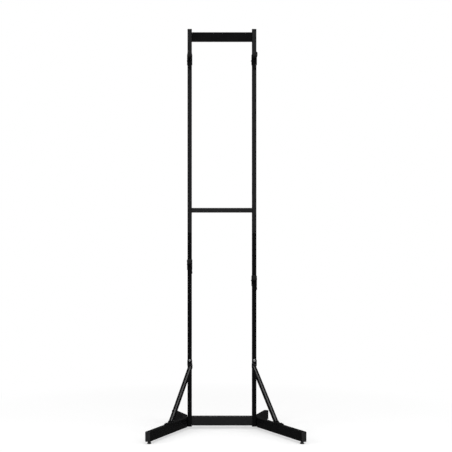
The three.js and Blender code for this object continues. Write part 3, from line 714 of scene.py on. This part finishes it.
for name, side, end in ENDS:
    shape = bmesh.new()
    inside = 2 * (TUBE_WALL + CAP_GAP)
    plug = (TUBE_WIDTH - inside, LEG_HEIGHT - inside)
    flange = (TUBE_WIDTH, LEG_HEIGHT)
    seat = CAP_GAP - CAP_FLANGE
    bottom = -CAP_FLANGE - CAP_PLUG
    ring = rounded_rectangle(shape, *plug, TUBE_CORNER, shift(0, 0, bottom))
    close(shape, ring)
    steps = [(*plug, bottom), (*plug, seat), (*flange, seat)]
    rim = [(2 * CAP_RIM * (1 - sqrt(1 - (1 - share) ** 2)), CAP_RIM * share) for share in CAP_RIM_STEPS]
    for shrink, depth in rim + [(CAP_FACE, 0), (CAP_DISH, CAP_SINK)]:
        steps.append((flange[0] - shrink, flange[1] - shrink, -depth))
    close(shape, stack(shape, ring, steps)[-1])
    move_all(shape, cross_section(*leg_frame(side, end)))
    make_piece(f"{name}_{end}_cap", shape, black_nylon, "frame", "black_plastic", f"{name}_{end}_end_cap")

# %% [markdown]
# Each brace is a round tube whose ends are pressed flat, bent and drilled. A boolean could join a tube and
# two tabs, but would leave a seam where the real tube flows. So it is made in the works' order: a circle is
# pulled along the brace's line, then pressed. The line is a list of stations, each with a frame, how flat
# it is and how wide. The upper press leaves off along a slanted line, since the tube leans outwards as well
# as forwards.

# %% Line of a brace
BRACE_RADIUS = 12 * MM
TAB_HALF_WIDTH = 12.5 * MM
TAB_HALF_THICKNESS = 1.7 * MM
SEAT = 0.3 * MM
TAB_LIFT = TAB_HALF_THICKNESS + SEAT
TAB_END_STEPS = 8
TAB_TIP_WIDTH = sqrt(0.03)
BRACE_TOP = 360 * MM
TOP_TAB = 29 * MM
TOP_TAB_SLANT = 0.5
BOTTOM_TAB = 46 * MM
BRACE_START = 175.43 * MM
AXIS_INSET = 2.4 * MM
AXIS_AHEAD = 11.1 * MM
AXIS_TOP = 315 * MM
AXIS_BACK = 15.6 * MM
AXIS_RISE = 7.3 * MM
TRANSITION_STEPS = 10


def brace_frame(place, direction, across):
    """A matrix whose z axis runs along the brace and whose x axis is as close as can be to a given one."""
    along = direction.normalized()
    level = (across - along * across.dot(along)).normalized()
    axes = Matrix((level, along.cross(level), along)).transposed().to_4x4()
    return Matrix.Translation(place) @ axes


def tab_end(tip, inward, way, across):
    """The stations of a tab's round end, from its tip inwards."""
    stations = [(brace_frame(tip, way, across), 1, TAB_TIP_WIDTH)]
    for share, _ in quarter(TAB_END_STEPS):
        width = max(sqrt(1 - (1 - share) ** 2), TAB_TIP_WIDTH)
        stations.append((brace_frame(tip + inward * TAB_HALF_WIDTH * share, way, across), 1, width))
    return stations


def transition(starts, ends, tab_width):
    """The stations between two (place, direction, across) triples, from a flat tab to the round tube."""
    stations = []
    for step in range(TRANSITION_STEPS + 1):
        share = step / TRANSITION_STEPS
        place, across = starts[0].lerp(ends[0], share), starts[2].lerp(ends[2], share)
        station = brace_frame(place, starts[1].slerp(ends[1], share), across)
        stations.append((station, 1 - share, tab_width + (1 - tab_width) * share))
    return stations


def brace_stations(side):
    """The brace as (frame, flatness, share of width) stations, from its top tab down."""
    down = Vector((0, 0, -1))
    outward = Vector((side, 0, 0))
    slanted = outward + down * TOP_TAB_SLANT
    slanted_way = down - outward * TOP_TAB_SLANT
    top = Vector((side * POST_X, POST_Y - POST_HALF - TAB_LIFT, BRACE_TOP))
    axis_top = Vector((side * (POST_X - AXIS_INSET), POST_Y - POST_HALF - AXIS_AHEAD, AXIS_TOP))
    start, way = leg_frame(side, "front", FRONT_LEG - BRACE_START)
    over_leg = Vector((-way.y, way.x, 0)) * side
    tab_start = Vector((start.x, start.y, LEG_TOP + TAB_LIFT))
    axis_low = Vector((start.x, start.y, LEG_TOP + AXIS_RISE)) - way * AXIS_BACK
    run = (axis_low - axis_top).normalized()
    round_across = (outward + over_leg).normalized()
    upper_starts = (top + down * TOP_TAB, slanted_way, slanted)
    stations = tab_end(top, down, down, outward)
    stations += transition(upper_starts, (axis_top, run, round_across), slanted.length)
    stations += reversed(transition((tab_start, way, over_leg), (axis_low, run, round_across), 1))
    stations += reversed(tab_end(tab_start + way * BOTTOM_TAB, -way, way, over_leg))
    return stations


# %% [markdown]
# Pressing clamps the points of a ring between two planes of its station's frame while they spread sideways.
# A lattice could squash the ends, but clamping gives flat faces with true thickness. The sine eases the
# flat into the round, and no point may sink into the leg below.

# %% Braces
BRACE_SIDES = 48


def press(ring, station, flatness, width_share):
    eased = sin(pi / 2 * flatness)
    spread = (1 + (TAB_HALF_WIDTH / BRACE_RADIUS - 1) * eased) * width_share
    limit = BRACE_RADIUS + (TAB_HALF_THICKNESS - BRACE_RADIUS) * eased
    back = station.inverted()
    for corner in ring_corners(ring):
        place = back @ corner.co
        place.x *= spread
        place.y = max(-limit, min(limit, place.y))
        corner.co = station @ place
        corner.co.z = max(corner.co.z, LEG_TOP + SEAT)


for name, side in SIDES.items():
    shape = bmesh.new()
    stations = brace_stations(side)
    frames = [station[0] for station in stations]
    start = bmesh.ops.create_circle(shape, segments=BRACE_SIDES, radius=BRACE_RADIUS, matrix=frames[0])
    ring = ring_edges(start["verts"])
    close(shape, ring)
    rings = grow_through(shape, ring, frames)
    close(shape, rings[-1])
    for ring, (station, flatness, width_share) in zip(rings, stations):
        press(ring, station, flatness, width_share)
    make_piece(f"{name}_pressed_brace", shape, lower_coat, "frame", "lower_paint", f"{name}_brace")

# %% [markdown]
# The bolts have hexagon heads with a flange, so no loose washer can fall off while the tower is put
# together. A cylinder with six sides would pass from far away, but the turned-down corners and the dished
# face are what catches light up close. So the head is a six-sided stack, on a round flange, with a shank
# behind it.

# %% Flanged bolts
HEX = 6
ROUND = 32
BOLT_RADIUS = 4 * MM
BOLT_CHAMFER = 0.6 * MM
HEX_RADIUS = 5.6 * MM
FLANGE_RADIUS = 6.5 * MM
HEX_START = 1 * MM
HEAD_HEIGHT = 5 * MM
HEX_TOP = [(0, -0.7), (-0.25, -0.3), (-0.9, 0), (-1.6, 0), (-2.1, -0.25)]
FLANGE_RIM = [(0, 0), (0, 0.6), (-0.3, 0.9)]
FLANGE_TOP = [(-0.3, 1.5)]


def add_stack(shape, sides, profile, matrix):
    """Adds a stack of circles to a shape, stood by a matrix."""
    part = bmesh.new()
    stack_circles(part, sides, profile)
    move_all(part, matrix)
    mesh = to_mesh("passing", part)
    shape.from_mesh(mesh)
    bpy.data.meshes.remove(mesh)


def from_rim(radius, height, steps):
    """A profile from steps in millimetres, across and up from a rim."""
    return [(radius + across * MM, height + rise * MM) for across, rise in steps]


def add_hex(shape, radius, low, high, matrix):
    """A hexagon whose outer corners are turned down and whose face is dished."""
    add_stack(shape, HEX, [(radius, low)] + from_rim(radius, high, HEX_TOP), matrix)


def add_shank(shape, radius, chamfer, reach, matrix):
    """A round shank below the matrix's ground plane."""
    add_stack(shape, ROUND, [(radius - chamfer, -reach), (radius, -reach + chamfer), (radius, 0)], matrix)


def add_flanged_bolt(shape, matrix, head, reach, scale=1.0):
    """A head on the matrix's ground plane, and the shank below it."""
    flange, hexagon = FLANGE_RADIUS * scale, HEX_RADIUS * scale
    profile = from_rim(flange, 0, FLANGE_RIM) + from_rim(hexagon, 0, FLANGE_TOP)
    add_stack(shape, ROUND, profile, matrix)
    add_hex(shape, hexagon, HEX_START, head, matrix)
    add_shank(shape, BOLT_RADIUS, BOLT_CHAMFER, reach, matrix)


def make_bolt(name, stands_for, matrix, reach, body="frame", head=HEAD_HEIGHT, scale=1.0):
    shape = bmesh.new()
    add_flanged_bolt(shape, matrix, head, reach, scale)
    make_piece(name, shape, black_oxide, body, "black_steel", stands_for)


# %% [markdown]
# Two bolts hold each foot to its post, one above the other, and each goes into a threaded insert in the
# post. They could be one copied mesh, but a finished piece keeps its place in its own mesh here, so each is
# made anew.

# %% Foot bolts
FOOT_BOLT_REACH = 34.5 * MM
FOOT_BOLT_HEIGHTS = {"lower": 24 * MM, "upper": 48 * MM}

for name, side in SIDES.items():
    for level, height in FOOT_BOLT_HEIGHTS.items():
        place = stand((side * (FOOT_X + FOOT_HALF), POST_Y, height), (side, 0, 0))
        make_bolt(f"{name}_{level}_foot_screw", f"{name}_{level}_foot_bolt", place, FOOT_BOLT_REACH)

# %% [markdown]
# The brace's upper bolt goes right through the post into a lock nut, which has a round collar that grips
# the thread. A plain nut would be simpler to make, but the collar is what tells a nut that can't shake
# loose. The lower bolt goes down into the leg.

# %% Brace bolts
BOLT_INSET = 12 * MM
LOWER_BOLT_REACH = 14 * MM
BOLT_PAST_POST = 9 * MM
NUT_RADIUS = 6.5 * MM
NUT_HEIGHT = 6.2 * MM
NUT_COLLAR = millimetres([(5.1, 5.5), (5.1, 7.6), (4.9, 8.1), (4.3, 8.4)])

for name, side in SIDES.items():
    shape = bmesh.new()
    through = TAB_LIFT + TAB_HALF_THICKNESS + 2 * POST_HALF
    place = Vector((side * POST_X, POST_Y + POST_HALF - through, BRACE_TOP - BOLT_INSET))
    add_flanged_bolt(shape, stand(place, (0, -1, 0)), HEAD_HEIGHT, through + BOLT_PAST_POST)
    behind = stand(place + Vector((0, through, 0)), (0, 1, 0))
    add_hex(shape, NUT_RADIUS, 0, NUT_HEIGHT, behind)
    add_stack(shape, ROUND, NUT_COLLAR, behind)
    stands_for = f"{name}_brace_upper_bolt"
    # The pale metal colour of this bolt is a painted highlight.
    make_piece(f"{name}_upper_brace_screw", shape, pale_highlight_metal, "frame", "black_steel", stands_for)
    place, _ = leg_frame(side, "front", FRONT_LEG - BRACE_START - BOTTOM_TAB + BOLT_INSET)
    place.z = LEG_TOP + TAB_LIFT + TAB_HALF_THICKNESS
    stands_for = f"{name}_brace_lower_bolt"
    make_bolt(f"{name}_lower_brace_screw", stands_for, stand(place, (0, 0, 1)), LOWER_BOLT_REACH)

# %% [markdown]
# The post sections are held on their inner splice by button-head screws, which stand out as little as a
# screw can, because the arm sleeves come close to them. The head is a dome. Its socket could be cut with a
# boolean, but pulling the last two rings to a hexagon leaves clean faces.

# %% Splice screws
BUTTON_SIDES = 36
BUTTON = [(5.2, 0), (5.2, 0.5), (5.0, 1.2), (4.5, 1.95), (3.7, 2.6), (2.7, 3.05), (2.05, 3.2), (2.0, 1.4)]
SOCKET_TOP = 1.7 * MM
SOCKET_BOTTOM = 1.6 * MM
SPLICE_SHANK = 3 * MM
SPLICE_CHAMFER = 0.4 * MM
SPLICE_REACH = 7 * MM
SPLICE_HEIGHTS = {"lower": 963 * MM, "upper": 1033 * MM}


def to_hexagon(ring, radius):
    """Moves the points of a ring round the z axis to a hexagon, whose radius is to its flats."""
    for corner in ring_corners(ring):
        angle = atan2(corner.co.y, corner.co.x)
        reach = radius / cos((angle % (pi / 3)) - pi / 6)
        corner.co.x, corner.co.y = reach * cos(angle), reach * sin(angle)


for name, side in SIDES.items():
    for level, height in SPLICE_HEIGHTS.items():
        shape = bmesh.new()
        rings = stack_circles(shape, BUTTON_SIDES, millimetres(BUTTON))
        to_hexagon(rings[-1], SOCKET_BOTTOM)
        to_hexagon(rings[-2], SOCKET_TOP)
        add_shank(shape, SPLICE_SHANK, SPLICE_CHAMFER, SPLICE_REACH, Matrix.Identity(4))
        move_all(shape, stand((side * POST_X, POST_Y + POST_HALF, height), (0, 1, 0)))
        stands_for = f"{name}_{level}_splice_bolt"
        make_piece(f"{name}_{level}_splice_screw", shape, black_oxide, "frame", "black_steel", stands_for)

# %% [markdown]
# A hook is a strip of plate, drilled, cut round at its lower end and bent twice. Cutting it from a block
# would leave uneven bends, so the sheet is drawn first: a square of it is bridged from its outline to the
# hole, its lower edge is pulled down and narrowed, and its upper edge is spun through the bends. It is
# drawn level, in the arm's own frame, and a matrix from the tilt joint then takes it to its place.

# %% Hook sizes and the arm's frame
ARMS = ("upper_left", "upper_right", "lower_left", "lower_right")
HOOK_WIDTH = 18 * MM
HOOK_PLATE = 4 * MM
SHANK_AHEAD = 17.6 * MM
CRADLE_MIDDLE = -4.8 * MM
PLATE_BEND = 6 * MM
BEND_START = CRADLE_MIDDLE - PLATE_BEND
LIP_AHEAD = 71.2 * MM
LIP_TOP = 13.2 * MM
PIVOT_HEIGHT = -22 * MM
HOOK_BEND_STEPS = 10
UPRIGHT = Matrix.Rotation(pi / 2, 4, "X")

joints = {joint["name"]: joint for joint in frame["joints"]}


def arm_frame(arm):
    """A matrix to the model from an arm's own frame, which has the post's axis and the rest at zero."""
    joint = joints[f"{arm}_tilt"]
    tilt = radians(sum(joint["range_deg"]) / 2)
    turn = Matrix.Rotation(-tilt, 4, "Y")
    return Matrix.Translation(joint["pos_m"]) @ turn @ shift(0, 0, -PIVOT_HEIGHT)


def lip_bend(shape, ring):
    """Turns a ring up from the hook's floor into its lip."""
    pivot = (0, PLATE_BEND - LIP_AHEAD, CRADLE_MIDDLE + PLATE_BEND)
    return spin_ring(shape, ring, cent=pivot, axis=(1, 0, 0), angle=-pi / 2, steps=HOOK_BEND_STEPS)


# %% Hooks
PIVOT_HOLE = 4.3 * MM
SHANK_END = -64 * MM
SHANK_ROUNDING = 7 * MM
ROUNDING_STEPS = 6
HOLE_SIDES = 32
ROW_TOLERANCE = 0.01 * MM


def drilled_square(shape, half_width, middle):
    """A square sheet round the pivot hole. Its outline is a circle pushed out to a square."""
    sheet = shift(0, -SHANK_AHEAD, middle) @ UPRIGHT
    corners = bmesh.ops.create_circle(shape, segments=HOLE_SIDES, radius=half_width, matrix=sheet)["verts"]
    for corner in corners:
        away = max(abs(corner.co.x), abs(corner.co.z - middle))
        corner.co.x *= half_width / away
        corner.co.z = middle + (corner.co.z - middle) * half_width / away
    hole = shift(0, -SHANK_AHEAD, PIVOT_HEIGHT) @ UPRIGHT
    bmesh.ops.create_circle(shape, segments=HOLE_SIDES, radius=PIVOT_HOLE, matrix=hole)
    bmesh.ops.bridge_loops(shape, edges=shape.edges[:])


def level_row(shape, height):
    """The edges that lie at a height."""
    at_height = {corner for corner in shape.verts if abs(corner.co.z - height) < ROW_TOLERANCE}
    return [edge for edge in shape.edges if at_height.issuperset(edge.verts)]


def pull_shank(shape, row, half_width, reach):
    """Pulls a row down to the shank's end and narrows its last steps to round corners."""
    steps = [(half_width, 1, reach), (half_width, 1, SHANK_END + SHANK_ROUNDING)]
    for inwards, left in quarter(ROUNDING_STEPS):
        steps.append((half_width - SHANK_ROUNDING * inwards, 1, SHANK_END + SHANK_ROUNDING * left))
    stack(shape, row, steps)


def bend_hook(shape, row):
    """Spins a row forwards from the shank, along the floor and up the lip."""
    pivot = (0, -SHANK_AHEAD - PLATE_BEND, BEND_START)
    row = spin_ring(shape, row, cent=pivot, axis=(1, 0, 0), angle=pi / 2, steps=HOOK_BEND_STEPS)
    floor = LIP_AHEAD - SHANK_AHEAD - 2 * PLATE_BEND
    row = lip_bend(shape, grow(shape, row, shift(0, -floor, 0)))
    grow(shape, row, shift(0, 0, LIP_TOP - CRADLE_MIDDLE - PLATE_BEND))


for arm in ARMS:
    shape = bmesh.new()
    half_width = HOOK_WIDTH / 2
    square_low = BEND_START - HOOK_WIDTH
    drilled_square(shape, half_width, BEND_START - half_width)
    pull_shank(shape, level_row(shape, square_low), half_width, square_low)
    bend_hook(shape, level_row(shape, BEND_START))
    move_all(shape, arm_frame(arm))
    look = {"wall": (HOOK_PLATE, 0), "edge": 0.5 * MM}
    make_piece(f"{arm}_bent_hook", shape, lower_coat, f"{arm}_cradle", "lower_paint", f"{arm}_hook", **look)

# %% [markdown]
# A rubber cover is pushed over each hook, so the bicycle's frame rests on rubber. It follows the hook's
# floor and lip and ends in a rounded tip. The hook could simply be made thicker there, but a real cover has
# a mouth. So the outer skin and the pocket are two tubes on the same line, and where the hook goes in they
# are bridged.

# %% Rubber covers
COVER_WIDTH = 23.6 * MM
COVER_DEPTH = 9.6 * MM
COVER_CORNER = 2.8 * MM
COVER_START = 26 * MM
COVER_TOP = 16 * MM
COVER_TIP = 10 * MM
TIP_STEPS = 8
TIP_THINNING = 0.42
POCKET_GAP = 0.3 * MM
POCKET_CORNER = 0.5 * MM


def cover_tip():
    """The lip of the cover and its rounded tip, as (share of width, share of depth, height) steps."""
    steps = [(1, 1, COVER_TOP - COVER_TIP)]
    for inwards, left in quarter(TIP_STEPS):
        narrow = 1 - COVER_TIP * inwards / (COVER_WIDTH / 2)
        steps.append((narrow, 1 - TIP_THINNING * inwards, COVER_TOP - COVER_TIP * left))
    return steps


def cover_path(shape, width, depth, corner, lip_steps):
    """Pulls an outline along the hook's floor and up its lip. Returns its first ring and its last one."""
    start = shift(0, -COVER_START, CRADLE_MIDDLE) @ UPRIGHT
    first = rounded_rectangle(shape, width, depth, corner, start)
    floor = LIP_AHEAD - PLATE_BEND - COVER_START
    ring = lip_bend(shape, grow(shape, first, shift(0, -floor, 0)))
    steps = [(1, 1, CRADLE_MIDDLE + PLATE_BEND)] + lip_steps
    return first, stack(shape, ring, steps, -LIP_AHEAD)[-1]


for arm in ARMS:
    shape = bmesh.new()
    outer, outer_end = cover_path(shape, COVER_WIDTH, COVER_DEPTH, COVER_CORNER, cover_tip())
    pocket = (HOOK_WIDTH + 2 * POCKET_GAP, HOOK_PLATE + 2 * POCKET_GAP)
    inner, inner_end = cover_path(shape, *pocket, POCKET_CORNER, [(1, 1, LIP_TOP + POCKET_GAP)])
    bmesh.ops.bridge_loops(shape, edges=outer + inner)
    close(shape, outer_end)
    close(shape, inner_end)
    move_all(shape, arm_frame(arm))
    body = f"{arm}_cradle"
    make_piece(f"{arm}_rubber_cover", shape, black_rubber, body, "black_rubber", f"{arm}_hook_cover")

# %% [markdown]
# Each hook hangs on a pivot screw, whose head is a little smaller than that of the frame's bolts. The same
# stack serves for it, scaled, because both are made to one pattern.

# %% Pivot screws
PIVOT_HEAD = 4 * MM
PIVOT_REACH = 8.3 * MM
PIVOT_SCALE = 0.92

for arm in ARMS:
    place = Vector(joints[f"{arm}_tilt"]["pos_m"])
    place.y = POST_Y - SHANK_AHEAD - HOOK_PLATE / 2 - POCKET_GAP
    look = {"body": f"{arm}_slider", "head": PIVOT_HEAD, "scale": PIVOT_SCALE}
    make_bolt(f"{arm}_pivot_screw", f"{arm}_pivot_bolt", stand(place, (0, -1, 0)), PIVOT_REACH, **look)

# %% [markdown]
# Behind the post a lobed knob clamps the sleeve. Seven cylinders could be cut out of a disc, but a wave on
# the radius of each ring keeps the rim round and soft: fingers find a hold, and the neck and the face stay
# smooth. The third number of each ring says how deep the lobes are there. Its steel screw shows in the
# middle.

# %% Clamp knobs
KNOB_SIDES = 112
KNOB_LOBES = 7
LOBE_DEPTH = 2.2 * MM
LOBE_SHARPNESS = 1.6
KNOB_DROP = 16 * MM
KNOB_BEHIND = 21.3 * MM
KNOB = [(7.5, 0, 0), (7.5, 2.2, 0), (9, 3.0, 0.3), (12.4, 4.4, 0.9), (13.5, 5.6, 1), (14, 7.4, 1)]
KNOB += [(14, 14.0, 1), (13.6, 15.6, 1), (12.7, 16.8, 0.9), (11.2, 17.6, 0.6), (9.2, 18.0, 0.2)]
KNOB += [(6.4, 18.0, 0), (5.9, 17.2, 0)]
KNOB_SCREW_REACH = 10 * MM
KNOB_SCREW_END = millimetres([(5.2, 16), (5.2, 17.3), (4.8, 17.7), (3.9, 17.8)])


def lobe(corner, depth):
    radius = corner.co.xy.length
    wave = (1 - cos(KNOB_LOBES * atan2(corner.co.y, corner.co.x))) / 2
    corner.co.xy *= (radius - depth * wave ** LOBE_SHARPNESS) / radius


for arm in ARMS:
    shape = bmesh.new()
    rings = stack_circles(shape, KNOB_SIDES, millimetres([ring[:2] for ring in KNOB]))
    for ring, (_, _, lobed) in zip(rings, KNOB):
        for corner in ring_corners(ring):
            lobe(corner, LOBE_DEPTH * lobed)
    pivot = Vector(joints[f"{arm}_tilt"]["pos_m"])
    height = pivot.z - PIVOT_HEIGHT - KNOB_DROP
    place = stand((pivot.x, POST_Y + KNOB_BEHIND, height), (0, 1, 0))
    move_all(shape, place)
    body = f"{arm}_knob"
    make_piece(f"{arm}_lobed_knob", shape, black_nylon, body, "black_plastic", f"{arm}_clamp_knob")
    screw = bmesh.new()
    add_shank(screw, BOLT_RADIUS, BOLT_CHAMFER, KNOB_SCREW_REACH, place)
    add_stack(screw, ROUND, KNOB_SCREW_END, place)
    make_piece(f"{arm}_knob_screw", screw, black_oxide, body, "black_steel")
    dress(f"{arm}_arm_sleeve", lower_coat, 0.5 * MM)

# %% [markdown]
# The four levelling feet are rubber pads on threaded stems. A bump could fake the thread, but here it is
# real: a zigzag is spun about the stem while it climbs one pitch per turn, so that each tooth runs into the
# next.

# %% Threaded stems
STEM_RADIUS = 4 * MM
THREAD_DEPTH = 0.65 * MM
PITCH = 1.25 * MM
STEM_LOW = 3 * MM
STEM_HIGH = 37 * MM
THREAD_SIDES = 24
THREAD_JOIN = 0.01 * MM
COLLAR_RADIUS = 7.5 * MM
COLLAR = (7.3 * MM, 10.3 * MM)


def make_stem(name, place):
    shape = bmesh.new()
    corners = []
    for tooth in range(int((STEM_HIGH - STEM_LOW) / PITCH)):
        corners.append(shape.verts.new((STEM_RADIUS, 0, STEM_LOW + tooth * PITCH)))
        corners.append(shape.verts.new((STEM_RADIUS - THREAD_DEPTH, 0, STEM_LOW + (tooth + 0.5) * PITCH)))
    zigzag = [shape.edges.new(pair) for pair in zip(corners, corners[1:])]
    climb = (0, 0, PITCH / THREAD_SIDES)
    turn = {"axis": (0, 0, 1), "angle": 2 * pi, "steps": THREAD_SIDES, "dvec": climb}
    spin_ring(shape, zigzag, cent=(0, 0, 0), **turn)
    bmesh.ops.remove_doubles(shape, verts=shape.verts[:], dist=THREAD_JOIN)
    add_hex(shape, COLLAR_RADIUS, *COLLAR, Matrix.Identity(4))
    move_all(shape, Matrix.Translation(place))
    make_piece(f"{name}_threaded_stem", shape, zinc, f"{name}_stem", "zinc_steel", f"{name}_levelling_stem")


# %% [markdown]
# A pad is a stack of rings with a flat foot and a neck. Its ribs, which a hand grips to turn it, could be a
# bump too, but pulling in every third point at the foot of the rim makes them real, and lets them run out
# upwards.

# %% Levelling pads
PAD_SIDES = 96
PAD = [(8.6, 0), (9.5, 0.3), (10, 1.0), (10, 4.3), (9.5, 5.0), (8.2, 5.4), (7.3, 5.8), (7, 6.5), (6.6, 7)]
PAD += [(4.5, 7), (4.3, 6.7), (4.3, 2.7)]
RIBBED_RING = 2
POINTS_PER_RIB = 3
RIB_SHRINK = 0.96
LEVELLER_INSET = 20 * MM


def make_pad(name, place):
    shape = bmesh.new()
    rings = stack_circles(shape, PAD_SIDES, millimetres(PAD))
    for corner in ring_corners(rings[RIBBED_RING]):
        spoke = round(atan2(corner.co.y, corner.co.x) / (2 * pi) * PAD_SIDES)
        if spoke % POINTS_PER_RIB == 0:
            corner.co.xy *= RIB_SHRINK
    move_all(shape, Matrix.Translation(place))
    stands_for = f"{name}_levelling_pad"
    make_piece(f"{name}_rubber_pad", shape, black_rubber, f"{name}_pad", "black_rubber", stands_for)


for name, side, end in ENDS:
    place = leg_frame(side, end, LEVELLER_INSET)[0]
    place.z = 0
    make_stem(f"{name}_{end}", place)
    make_pad(f"{name}_{end}", place)
